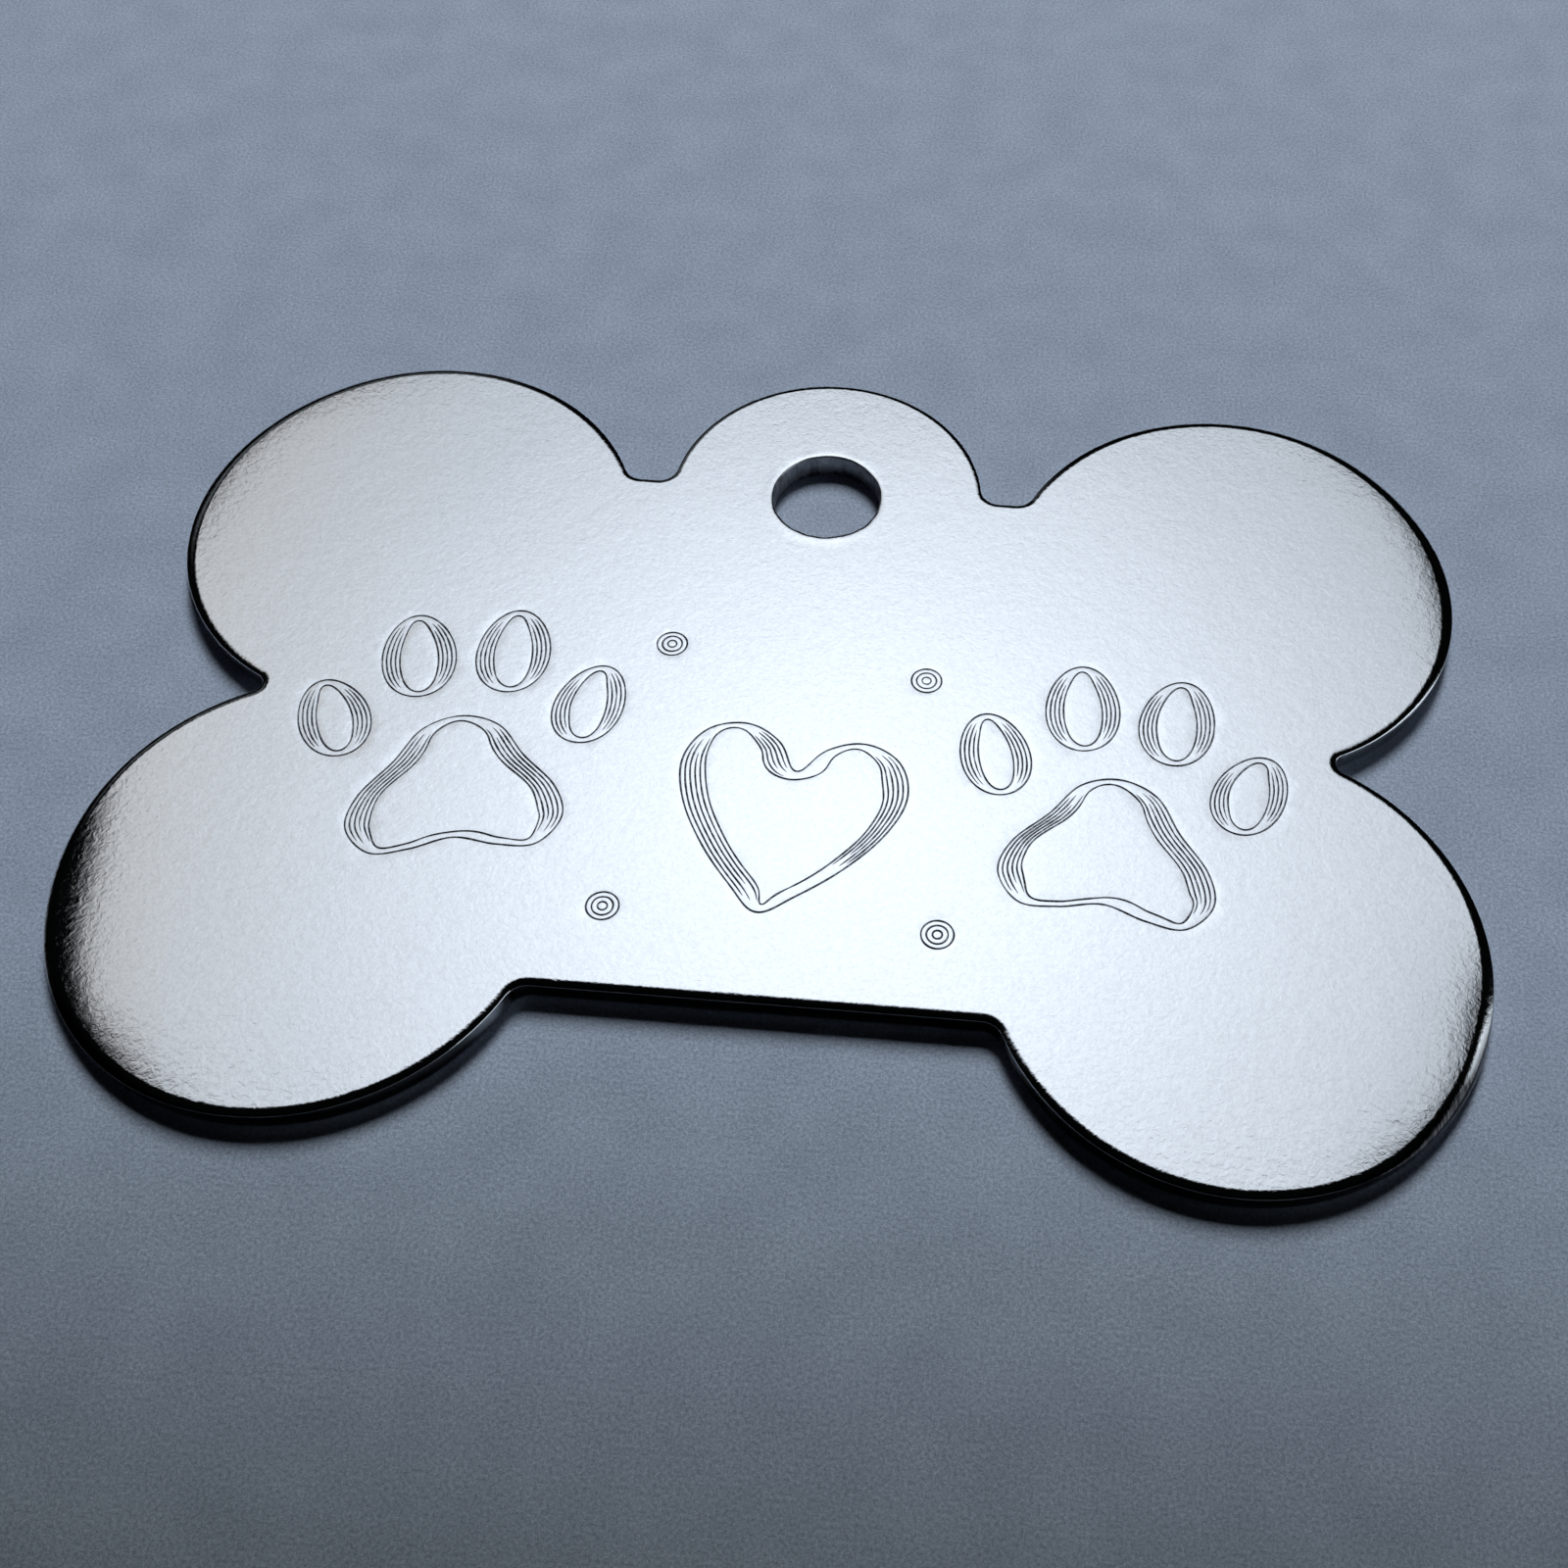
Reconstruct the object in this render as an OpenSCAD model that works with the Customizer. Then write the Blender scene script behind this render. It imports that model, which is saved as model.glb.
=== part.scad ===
// Pet identity tag: one flat polished metal plate in the outline of a bone.
// Four equal round lobes, a straight waist edge above and below, and a round
// ear with one through hole between the two upper lobes.
// Millimetres. The plate lies on its back: Z = 0 is the back face, +Z is the
// engraved front face, +Y runs from the waist to the ear, X is side to side.
// The origin is the bottom centre of the bounding box.

/* [Plate] */
// Distance between the left and right lobe centres
lobe_span_x = 30.2; // [29.6:0.1:34]
// Distance between the upper and lower lobe centres
lobe_span_y = 15.2; // [14.6:0.1:15.6]
// Diameter of each of the four lobes
lobe_d = 16.3; // [15.8:0.1:16.8]
// Distance between the straight top edge and the straight bottom edge
waist_h = 21.4; // [20.4:0.1:22.4]
// Thickness of the sheet
plate_t = 1; // [0.8:0.1:2]
// Radius that tumbling and polishing leave on the outer edges
edge_r = 0.25; // [0.15:0.05:0.35]

/* [Ear and hole] */
// Diameter of the ear round the hole
ear_d = 11.7; // [10.5:0.1:12.1]
// Height of the ear centre above the middle of the four lobes
ear_up = 10.45; // [10:0.05:11]
// Diameter of the through hole
hole_d = 4; // [3:0.1:6]
// Radius broken on both rims of the hole
hole_edge = 0.08; // [0.05:0.01:0.15]

/* [Inside corners] */
// Fillet radius in the two notches beside the ear
notch_r = 0.7; // [0.6:0.05:0.8]
// Fillet radius where the bottom edge meets the lower lobes
foot_r = 0.75; // [0.6:0.05:0.9]
// Fillet radius in the two side waists
side_r = 0.4; // [0.3:0.05:0.6]

/* [Hidden] */
$fn = 180;

metal = [0.80, 0.81, 0.82];

ax = lobe_span_x / 2;
cy = lobe_span_y / 2;
lr = lobe_d / 2;
hb = waist_h / 2;
er = ear_d / 2;
hr = hole_d / 2;
// Highest and lowest points of the outline, and the shift that centres them
y_top = max(ear_up + er, cy + lr);
y_low = -(cy + lr);
y_shift = -(y_top + y_low) / 2;

// Centres of the inside corner fillets: each one touches both of its sides
ex = sqrt(pow(er + notch_r, 2) - pow(hb + notch_r - ear_up, 2));
nx = ax - sqrt(pow(lr + notch_r, 2) - pow(hb + notch_r - cy, 2));
fx = ax - sqrt(pow(lr + foot_r, 2) - pow(hb + foot_r - cy, 2));
wx = ax + sqrt(pow(lr + side_r, 2) - pow(cy, 2));

// Cross-section of a round blank, from its axis to its rounded rim
module rim_section(r) {
    square([r - edge_r, plate_t]);
    translate([0, edge_r]) square([r, plate_t - 2 * edge_r]);
    translate([r - edge_r, edge_r]) circle(r = edge_r, $fn = 32);
    translate([r - edge_r, plate_t - edge_r]) circle(r = edge_r, $fn = 32);
}

// Round blank with a rounded rim
module blank(r) {
    rotate_extrude() rim_section(r);
}

// Straight web between the lobes, rounded along its long edges
module web() {
    translate([-ax, 0, 0]) rotate([90, 0, 90]) linear_extrude(height = 2 * ax) {
        translate([edge_r - hb, 0]) square([2 * hb - 2 * edge_r, plate_t]);
        translate([-hb, edge_r]) square([2 * hb, plate_t - 2 * edge_r]);
        for (s = [-1, 1], z = [edge_r, plate_t - edge_r])
            translate([s * (hb - edge_r), z]) circle(r = edge_r, $fn = 32);
    }
}

// Space cleared round an inside corner: a post of radius r that flares out
// at both faces to follow the rounded edge
module corner_space(r) {
    rotate_extrude() difference() {
        translate([0, -0.5]) square([r + edge_r, plate_t + 1]);
        translate([r + edge_r, edge_r]) circle(r = edge_r, $fn = 32);
        translate([r + edge_r, plate_t - edge_r]) circle(r = edge_r, $fn = 32);
        translate([r, edge_r]) square([edge_r + 1, plate_t - 2 * edge_r]);
    }
}

// Metal that fills an inside corner at c, between the directions of a and b
module corner_fill(c, a, b, r) {
    difference() {
        linear_extrude(height = plate_t) polygon([c, a, b]);
        translate([c[0], c[1], 0]) corner_space(r);
    }
}

module corners() {
    corner_fill([ex, hb + notch_r], [0, ear_up], [ex, 0], notch_r);
    corner_fill([nx, hb + notch_r], [ax, cy], [nx, 0], notch_r);
    corner_fill([fx, -hb - foot_r], [ax, -cy], [fx, 0], foot_r);
    corner_fill([wx, 0], [ax, cy], [ax, -cy], side_r);
}

// The through hole, with both rims broken by a small radius
module ring_hole() {
    translate([0, 0, -1]) cylinder(r = hr, h = plate_t + 2);
    for (z = [0, plate_t]) translate([0, 0, z]) rotate_extrude() difference() {
        translate([0, -hole_edge]) square([hr + hole_edge, 2 * hole_edge]);
        for (s = [-1, 1])
            translate([hr + hole_edge, s * hole_edge]) circle(r = hole_edge, $fn = 24);
    }
}

module tag_plate() {
    color(metal) translate([0, y_shift, 0]) difference() {
        union() {
            for (sx = [-1, 1], sy = [-1, 1]) translate([sx * ax, sy * cy, 0]) blank(lr);
            translate([0, ear_up, 0]) blank(er);
            web();
            corners();
            mirror([1, 0, 0]) corners();
        }
        translate([0, ear_up, 0]) ring_hole();
    }
}

tag_plate();
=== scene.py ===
import math

import bpy
import numpy as np
from mathutils import Matrix, Vector
from mathutils.geometry import delaunay_2d_cdt


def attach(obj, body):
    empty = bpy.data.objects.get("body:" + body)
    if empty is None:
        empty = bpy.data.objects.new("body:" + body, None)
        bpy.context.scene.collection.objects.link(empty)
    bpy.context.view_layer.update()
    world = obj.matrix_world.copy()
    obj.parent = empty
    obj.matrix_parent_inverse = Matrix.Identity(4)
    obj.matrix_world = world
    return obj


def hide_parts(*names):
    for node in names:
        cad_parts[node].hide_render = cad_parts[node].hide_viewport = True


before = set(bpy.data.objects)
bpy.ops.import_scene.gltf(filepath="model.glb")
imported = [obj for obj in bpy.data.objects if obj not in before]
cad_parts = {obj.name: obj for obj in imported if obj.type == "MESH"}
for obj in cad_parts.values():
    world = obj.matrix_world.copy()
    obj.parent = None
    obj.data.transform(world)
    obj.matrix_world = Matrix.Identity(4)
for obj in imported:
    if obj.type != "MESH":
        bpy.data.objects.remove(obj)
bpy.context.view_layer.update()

scene = bpy.context.scene
rng = np.random.default_rng(7)

# ---------------------------------------------------------------- tag shape
# Millimetres, from the centre of the four lobes; SHIFT centres the box.
LOBE_X, LOBE_Y, LOBE_R = 15.1, 7.6, 8.15
EAR_Y, EAR_R = 10.45, 5.85
TOP, BOTTOM = 10.7, 10.7
NOTCH_R, FOOT_R, SIDE_R = 0.7, 0.75, 0.4
SHIFT = -0.275
THICK = 1.0
HOLE = (0.0, EAR_Y + SHIFT)
HOLE_R = 2.0
ROLL_G = 0.28                   # width of the gentle roll over the edge
ROLL_EAR = 0.20                 # the same round the ear
ROLL_MORE = 0.12                # how much wider it is where the rim is most worn
ROLL_T = math.radians(25)       # tilt where the roll meets the small round
ROLL_R = 0.045                  # least radius of that round, down to the upright wall
SOFT = ((1, -1, -28, 20, 0.23), (1, 1, -50, 18, 0.10))   # places where the round is softer: more radius
ROLLS = ((1, 1, 26, 46, 0.13), (1, -1, 2, 32, 0.08), (1, 1, -54, 18, -0.11),   # and where the roll is wider
         (-1, 1, 158, 52, 0.10))
BACK_A, BACK_B = 0.20, 0.18     # width and depth of the rounded back edge

CROWN_TILT = math.radians(11.3) # tilt that the polishing wheel left at the rim
CROWN_LEN = 1.05                # how fast it dies away inwards
CROWNS = (                      # lobe side, up or down, direction in degrees, spread, strength
    (-1, -1, 206, 42, 1.17),
    (1, -1, -28, 34, 0.80),
    (1, 1, 14, 42, 0.58),
    (-1, 1, 150, 45, 0.33),
)
DULL = ((1, -1, -26, 22, 0.60), (1, -1, -66, 27, 1.0))   # where the round of the edge is darkened on the lower right lobe, dimming its reflection of the right strip


def arc(cx, cy, r, a0, a1, n, concave=False):
    """Points of an arc with the metal's outward normals; the last point is left to the next piece."""
    a = a0 + (a1 - a0) * np.arange(n) / n
    d = np.c_[np.cos(a), np.sin(a)]
    return np.c_[cx + r * d[:, 0], cy + r * d[:, 1]], (-d if concave else d)


def line(x0, y0, x1, y1, n, normal):
    t = np.arange(n)[:, None] / n
    return np.array([x0, y0]) * (1 - t) + np.array([x1, y1]) * t, np.tile(np.array(normal, float), (n, 1))


def right_half(off):
    """The right half of the outline from the top of the ear to the middle of the
    bottom edge, moved outwards by off. Each offset has the same number of points."""
    xe = math.sqrt((EAR_R + NOTCH_R) ** 2 - (TOP + NOTCH_R - EAR_Y) ** 2)
    ye = TOP + NOTCH_R
    ae = math.atan2(ye - EAR_Y, xe)
    xl = LOBE_X - math.sqrt((LOBE_R + NOTCH_R) ** 2 - (ye - LOBE_Y) ** 2)
    al = math.atan2(ye - LOBE_Y, xl - LOBE_X)
    xw = LOBE_X + math.sqrt((LOBE_R + SIDE_R) ** 2 - LOBE_Y ** 2)
    b = abs(math.atan2(-LOBE_Y, xw - LOBE_X))
    xb = LOBE_X - math.sqrt((LOBE_R + FOOT_R) ** 2 - (BOTTOM + FOOT_R - LOBE_Y) ** 2)
    yb = -(BOTTOM + FOOT_R)
    ab = math.atan2(yb + LOBE_Y, xb - LOBE_X)
    pi = math.pi
    parts = [
        arc(0, EAR_Y, EAR_R + off, pi / 2, ae, 52),
        arc(xe, ye, NOTCH_R - off, pi + ae, 1.5 * pi, 12, True),
        line(xe, TOP + off, xl, TOP + off, 6, (0, 1)),
        arc(xl, ye, NOTCH_R - off, 1.5 * pi, pi + al, 12, True),
        arc(LOBE_X, LOBE_Y, LOBE_R + off, al, -b, 190),
        arc(xw, 0, SIDE_R - off, pi - b, pi + b, 22, True),
        arc(LOBE_X, -LOBE_Y, LOBE_R + off, b, ab, 190),
        arc(xb, yb, FOOT_R - off, ab + pi, pi / 2, 12, True),
        line(xb, -BOTTOM - off, 0, -BOTTOM - off, 44, (0, -1)),
    ]
    p = np.vstack([q[0] for q in parts] + [[[0, -BOTTOM - off]]])
    n = np.vstack([q[1] for q in parts] + [[[0, -1]]])
    return p, n


def ring(off):
    """The whole outline, clockwise seen from +Z, with outward normals."""
    p, n = right_half(off)
    left, ln = p[1:-1][::-1] * [-1, 1], n[1:-1][::-1] * [-1, 1]
    return np.vstack([p, left]) + [0, SHIFT], np.vstack([n, ln])


RIM, RIM_N = ring(0.0)
N_RING = len(RIM)


def smooth(lo, hi, x):
    t = np.clip((np.asarray(x, float) - lo) / (hi - lo), 0, 1)
    return t * t * (3 - 2 * t)


def rim_weight(table, p, n):
    """Sum of the table's bumps at outline points, by the way that the rim faces:
    lobe side, up or down, direction, spread, strength."""
    x, y = p[:, 0], p[:, 1] - SHIFT
    turn = np.degrees(np.arctan2(n[:, 1], n[:, 0]))
    out = np.zeros(len(p))
    for sx, sy, mid, spread, gain in table:
        d = (turn - mid + 180) % 360 - 180
        out += np.where((x * sx > 0) & (y * sy > 0), gain * np.exp(-np.abs(d / spread) ** 3), 0)
    return out * smooth(9.0, 13.0, np.abs(x)) * smooth(0.6, 3.0, np.abs(y))


# How strongly polishing rolled off the rim: most at the outer sides of the lobes
RIM_W = rim_weight(CROWNS, RIM, RIM_N)


def crown(p, d=None, n=None, w=None, share=False):
    """Drop of the face below THICK and its slope vector at points p; with share,
    also how much of the rim's polishing reaches each point."""
    if d is None:
        best = np.full(len(p), 1e9)
        idx = np.zeros(len(p), int)
        for k in range(0, len(p), 2000):
            q = p[k:k + 2000]
            dd = ((q[:, None, :] - RIM[None, :, :]) ** 2).sum(-1)
            i = dd.argmin(1)
            idx[k:k + 2000] = i
            best[k:k + 2000] = np.sqrt(dd[np.arange(len(q)), i])
        d, n, w = best, RIM_N[idx], RIM_W[idx]
    tilt = np.tan(w * CROWN_TILT) * np.exp(-d / CROWN_LEN)
    # a very slight hand-polish waviness, a few microns high and centimetres long
    x, y = p[:, 0], p[:, 1]
    wav = 0.0016 * np.sin(x * 0.41 + 0.6 * y * 0.31 + 0.7) + 0.0014 * np.sin(y * 0.53 - x * 0.17 + 2.1)
    gx = 0.0016 * 0.41 * np.cos(x * 0.41 + 0.186 * y + 0.7) - 0.0014 * 0.17 * np.cos(y * 0.53 - x * 0.17 + 2.1)
    gy = 0.0016 * 0.186 * np.cos(x * 0.41 + 0.186 * y + 0.7) + 0.0014 * 0.53 * np.cos(y * 0.53 - x * 0.17 + 2.1)
    drop = tilt * CROWN_LEN + 0.003 - wav
    slope = n * tilt[:, None] - np.c_[gx, gy]
    if share:
        return drop, slope, w * np.exp(-np.maximum(d - ROLL_G, 0) / 1.5)
    return drop, slope


# ---------------------------------------------------------------- mesh store
class Store:
    def __init__(self):
        self.co, self.faces, self.mat, self.nor, self.wear = [], [], [], [], []
        self.n = 0

    def verts(self, xyz, wear=None):
        xyz = np.asarray(xyz, float)
        self.co.append(xyz)
        self.wear.append(np.zeros(len(xyz)) if wear is None else wear)
        k = np.arange(self.n, self.n + len(xyz))
        self.n += len(xyz)
        return k

    def face(self, ids, normals, mat):
        self.faces.append(tuple(int(i) for i in ids))
        self.nor.append(np.asarray(normals, float))
        self.mat.append(mat)


S = Store()
FACE, CUT, EDGE, BORE = 0, 1, 2, 3


def unit(v):
    v = np.asarray(v, float)
    return v / np.linalg.norm(v, axis=-1, keepdims=True)


def bridge(a, b, na, nb, mat):
    """Quads between two closed rings of equal length with normals at both."""
    m = len(a)
    for i in range(m):
        j = (i + 1) % m
        S.face([a[i], a[j], b[j], b[i]], [na[i], na[j], nb[j], nb[i]], mat)


# ---------------------------------------------------------------- outer rim
def rim_ring(off, sunk, lean, darkening_and_shade=0.0):
    """A ring of the edge: off outwards from the outline, sunk below the face and
    leaning out by the slope lean."""
    p = RIM + RIM_N * np.broadcast_to(off, N_RING)[:, None]
    drop, slope, wear = crown(p, np.broadcast_to(-off, N_RING), RIM_N, RIM_W, True)
    z = THICK - drop - sunk
    nn = unit(np.c_[slope + RIM_N * lean, np.ones(N_RING)])
    return S.verts(np.c_[p, z], wear + darkening_and_shade), nn, p, RIM_N, z


rows = []
# Darkening carried into the colour: on the round of the lower right lobe where DULL says, and painted shade on the
# camera-facing bottom edges of the lower lobes, standing in for their shadowed reflection
dark_rim_and_shade = 2.0 * np.minimum(rim_weight(DULL, RIM, RIM_N) + smooth(0.40, 0.80, -RIM_N[:, 1]) * (RIM[:, 1] < -5), 1.0)
at_ear = smooth(9.0, 7.0, np.abs(RIM[:, 0])) * smooth(4.0, 8.0, RIM[:, 1])
roll_w = ROLL_G + (ROLL_EAR - ROLL_G) * at_ear + ROLL_MORE * RIM_W + rim_weight(ROLLS, RIM, RIM_N)
round_r = ROLL_R + rim_weight(SOFT, RIM, RIM_N)
roll_end = -round_r * (1 - math.sin(ROLL_T))
for inset in (0.62, 0.44, 0.29, 0.17, 0.08, 0.03):
    rows.append(rim_ring(roll_end - roll_w - inset, 0.0, 0.0))
for s in np.linspace(0, 1, 12):
    rows.append(rim_ring(roll_end - roll_w * (1 - s), -roll_w / ROLL_T * math.log(math.cos(ROLL_T * s)),
                         math.tan(ROLL_T * s), dark_rim_and_shade * s))
roll_sunk = -roll_w / ROLL_T * math.log(math.cos(ROLL_T))
for t in np.linspace(ROLL_T, math.pi / 2, 11)[1:-1]:
    rows.append(rim_ring(-round_r * (1 - math.sin(t)), roll_sunk + round_r * (math.cos(ROLL_T) - math.cos(t)),
                         math.tan(t), dark_rim_and_shade))
p0, n0 = RIM, RIM_N
drop0, _ = crown(p0, np.zeros(N_RING), n0, RIM_W)
z_wall = THICK - drop0 - roll_sunk - round_r * math.cos(ROLL_T)
flat_n = np.c_[n0, np.zeros(N_RING)]
rows.append((S.verts(np.c_[p0, z_wall], RIM_W + dark_rim_and_shade), flat_n, p0, n0, z_wall))
for i in range(len(rows) - 1):
    bridge(rows[i][0], rows[i + 1][0], rows[i][1], rows[i + 1][1], FACE)
FACE_LOOP = rows[0][0]
FACE_XY = rows[0][2]
FACE_NOR = rows[0][1]

# the straight wall, with the faint shear line a third of the way up
prev, prev_n = rows[-1][0], rows[-1][1]
t_along = np.cumsum(np.r_[0, np.linalg.norm(np.diff(p0, axis=0), axis=1)])
shear = 0.30 + 0.035 * np.sin(t_along * 0.55) + 0.02 * np.sin(t_along * 1.9 + 1)
for frac, depth, tilt in ((0.35, 0.0, 0.0), (0.62, 0.003, -0.01), (0.80, 0.008, 0.03)):
    z = z_wall + (BACK_B - z_wall) * (frac + 0.25 * (shear - 0.30))
    p, n = ring(-depth)
    k = S.verts(np.c_[p, z], dark_rim_and_shade)
    nn = unit(np.c_[n, np.full(N_RING, -tilt)])
    bridge(prev, k, prev_n, nn, EDGE)
    prev, prev_n = k, nn
for k in range(0, 9):
    a = 0.5 * math.pi * k / 8
    off = -BACK_A + BACK_A * math.cos(a) - 0.010 * math.cos(a)
    z = BACK_B - BACK_B * math.sin(a)
    p, n = ring(off)
    ids = S.verts(np.c_[p, np.full(N_RING, z)])
    nn = unit(np.c_[n * math.cos(a), np.full(N_RING, -math.sin(a))])
    bridge(prev, ids, prev_n, nn, EDGE if k == 0 else FACE)
    prev, prev_n = ids, nn
BACK_LOOP, BACK_XY = prev, p

# ---------------------------------------------------------------- ring hole
M_HOLE = 160
ha = 2 * math.pi * np.arange(M_HOLE) / M_HOLE


def hole_noise(seed, amp):
    r = np.random.default_rng(seed)
    out = np.zeros(M_HOLE)
    for k in range(3, 34):
        out += r.normal() * np.cos(k * ha + r.uniform(0, 6.28)) / (1 + (k / 14) ** 2)
    return amp * out / out.std()


nick = hole_noise(3, 0.009) * (0.45 + 1.0 * smooth(-0.2, 0.9, -np.sin(ha)))
burr = 0.25 + 0.75 * smooth(-0.3, 0.8, -np.sin(ha + 0.5)) + hole_noise(11, 0.10)
lip = [  # radius, raised height, sunk height, raised slope, sunk slope, share of the nicks
    (HOLE_R + 0.62, 0.000, 0.000, 0.000, 0.000, 0.0),
    (HOLE_R + 0.44, 0.002, 0.000, 0.020, -0.005, 0.0),
    (HOLE_R + 0.30, 0.007, -0.001, 0.045, -0.020, 0.1),
    (HOLE_R + 0.20, 0.011, -0.004, 0.020, -0.050, 0.3),
    (HOLE_R + 0.13, 0.010, -0.009, -0.060, -0.110, 0.6),
    (HOLE_R + 0.08, 0.003, -0.016, -0.260, -0.200, 0.9),
    (HOLE_R + 0.045, -0.010, -0.026, -0.600, -0.450, 1.0),
    (HOLE_R + 0.015, -0.038, -0.050, -1.800, -1.500, 1.0),
    (HOLE_R + 0.000, -0.085, -0.085, -20.0, -20.0, 0.9),
]
dirs = np.c_[np.cos(ha), np.sin(ha)]
hole_rows = []
for r, h1, h0, s1, s0, g in lip:
    rr = r + g * nick
    p = np.array(HOLE) + dirs * rr[:, None]
    drop, slope = crown(p)
    nn = unit(np.c_[slope + dirs * (s0 + (s1 - s0) * burr)[:, None], np.ones(M_HOLE)])
    hole_rows.append((S.verts(np.c_[p, THICK - drop + h0 + (h1 - h0) * burr]), nn, p))
for i in range(len(hole_rows) - 1):
    bridge(hole_rows[i][0], hole_rows[i + 1][0], hole_rows[i][1], hole_rows[i + 1][1], FACE if i < 6 else BORE)
HOLE_LOOP, HOLE_XY, HOLE_NOR = hole_rows[0][0], hole_rows[0][2], hole_rows[0][1]
prev, prev_n = hole_rows[-1][0], hole_rows[-1][1]
tear = hole_noise(5, 0.03)
for frac, g, dr in ((0.16, 0.5, 0.0), (0.40, 0.25, 0.0), (0.58, 0.6, 0.006), (0.80, 1.0, 0.012)):
    rr = HOLE_R - 0.002 + dr + g * nick
    z = 0.915 + (0.06 - 0.915) * frac + (tear if frac in (0.40, 0.58) else 0 * tear)
    p = np.array(HOLE) + dirs * rr[:, None]
    k = S.verts(np.c_[p, z])
    nn = unit(np.c_[-dirs, np.full(M_HOLE, 0.05 if frac < 0.5 else -0.03)])
    bridge(prev, k, prev_n, nn, BORE)
    prev, prev_n = k, nn
for r, z, s in ((0.016, 0.060, 0.25), (0.035, 0.028, 0.9), (0.065, 0.008, 2.5), (0.12, 0.0, 30.0)):
    p = np.array(HOLE) + dirs * (HOLE_R + r)
    k = S.verts(np.c_[p, np.full(M_HOLE, z)])
    nn = unit(np.c_[-dirs, np.full(M_HOLE, -s)])
    bridge(prev, k, prev_n, nn, BORE)
    prev, prev_n = k, nn
BACK_HOLE, BACK_HOLE_XY = prev, p

# ---------------------------------------------------------------- engraving
# Two paw prints and a heart cut with a drag point. Each outline is a broad and
# narrow stroke made of several passes: two that close on themselves, and
# crescents between them where the stroke is broad.
EDGE_W, CREST_W, CORE_W = 0.040, 0.0345, 0.030
DEPTH, BURR = 0.018, 0.0012
SHOULDER = 0.060    # how far the face leans over towards each line
grooves = []        # (centre points, lateral normals, width scale, depth scale, closed)


def resample(p, closed, step):
    q = np.vstack([p, p[:1]]) if closed else p
    s = np.r_[0, np.cumsum(np.linalg.norm(np.diff(q, axis=0), axis=1))]
    m = max(8, int(round(s[-1] / step)))
    t = np.linspace(0, s[-1], m + 1)
    t = t[:-1] if closed else t
    return np.c_[np.interp(t, s, q[:, 0]), np.interp(t, s, q[:, 1])]


def laterals(p, closed):
    if closed:
        d = np.roll(p, -1, 0) - np.roll(p, 1, 0)
    else:
        d = np.gradient(p, axis=0)
    d = unit(d)
    return np.c_[-d[:, 1], d[:, 0]]


def wander(m, closed, amp, waves):
    """Slow sideways play of the cutter along a pass."""
    t = np.arange(m) / m
    out = np.zeros(m)
    for k in range(1, waves + 1):
        out += rng.normal() * np.sin(2 * math.pi * k * t + rng.uniform(0, 6.28)) / (1 + 0.25 * k)
    if not closed:
        out *= smooth(0, 0.15, t) * smooth(0, 0.15, 1 - t)
    return amp * out


def blur(x, reach):
    """Round average along a closed loop of points, reach points to each side."""
    k = np.arange(-2 * reach, 2 * reach + 1)
    w = np.exp(-(k / reach) ** 2)
    return sum(np.roll(x, -i, 0) * wi for i, wi in zip(k, w / w.sum()))


def add_pass(p, closed):
    p = resample(p, closed, 0.09)
    n = laterals(p, closed)
    p = p + n * wander(len(p), closed, 0.0022, 7)[:, None]
    n = laterals(p, closed)
    m = len(p)
    t = np.arange(m) / (m if closed else m - 1)
    chatter = 1 + 0.42 * blur(rng.normal(size=m), 1) + 0.5 * blur(rng.normal(size=m), 5)
    width = np.clip(0.90 + 0.05 * np.sin(2 * math.pi * (3 * t + rng.uniform()))
                    + 0.14 * blur(rng.normal(size=m), 2), 0.72, 1.0)
    depth = np.clip(chatter, 0.35, 1.6)
    if not closed:
        ends = np.sqrt(np.clip(np.minimum(t, 1 - t) * m * 0.09 / 0.6, 0, 1))
        width, depth = width * ends, depth * ends
    grooves.append((p, n, width, depth, closed))


def stroke(outline, passes, thin, thick, lean, least=0.088):
    """Nested passes inside a closed outline. The stroke is thick where the outline
    runs up and down and thin where it runs across, with its axis leaning over."""
    p = resample(outline, True, 0.04)
    area = 0.5 * np.sum(p[:, 0] * np.roll(p[:, 1], -1) - np.roll(p[:, 0], -1) * p[:, 1])
    if area < 0:
        p = p[::-1]
    n = laterals(p, True)                       # inwards for an anticlockwise loop
    c = np.abs(n[:, 0] * math.cos(lean) + n[:, 1] * math.sin(lean))
    o = blur(n * (thin + (thick - thin) * c ** 1.5)[:, None], 9)
    t = np.einsum("ij,ij->i", o, n)
    add_pass(p, True)
    add_pass(p + o, True)
    on = t / (passes - 1) > least
    m = len(p)
    start = [i for i in range(m) if on[i] and not on[i - 1]]
    for s in start:
        e = s
        while on[e % m]:
            e += 1
        k = np.arange(s, e) % m
        if len(k) < 24:
            continue
        for j in range(1, passes - 1):
            back = int(len(k) * (0.0, 0.07, 0.03, 0.11)[j % 4])
            kk = k[back:len(k) - back]
            add_pass(p[kk] + o[kk] * (j / (passes - 1)), False)


def rot(p, deg):
    a = math.radians(deg)
    return p @ np.array([[math.cos(a), math.sin(a)], [-math.sin(a), math.cos(a)]])


def toe(cx, cy, a, b, tilt):
    t = np.linspace(0, 2 * math.pi, 240, endpoint=False)
    w = a * (1 - 0.10 * np.sin(t))              # slightly narrower at the tip
    return rot(np.c_[w * np.cos(t), b * np.sin(t)], tilt) + [cx, cy]


def closed_spline(pts):
    """Smooth closed curve through given points (centripetal-like blend)."""
    p = np.array(pts, float)
    m = len(p)
    out = []
    for i in range(m):
        a, b, c, d = p[i - 1], p[i], p[(i + 1) % m], p[(i + 2) % m]
        for t in np.arange(0, 1, 0.05):
            out.append(0.5 * (2 * b + (c - a) * t + (2 * a - 5 * b + 4 * c - d) * t * t
                              + (3 * b - a - 3 * c + d) * t ** 3))
    return np.array(out)


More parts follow.
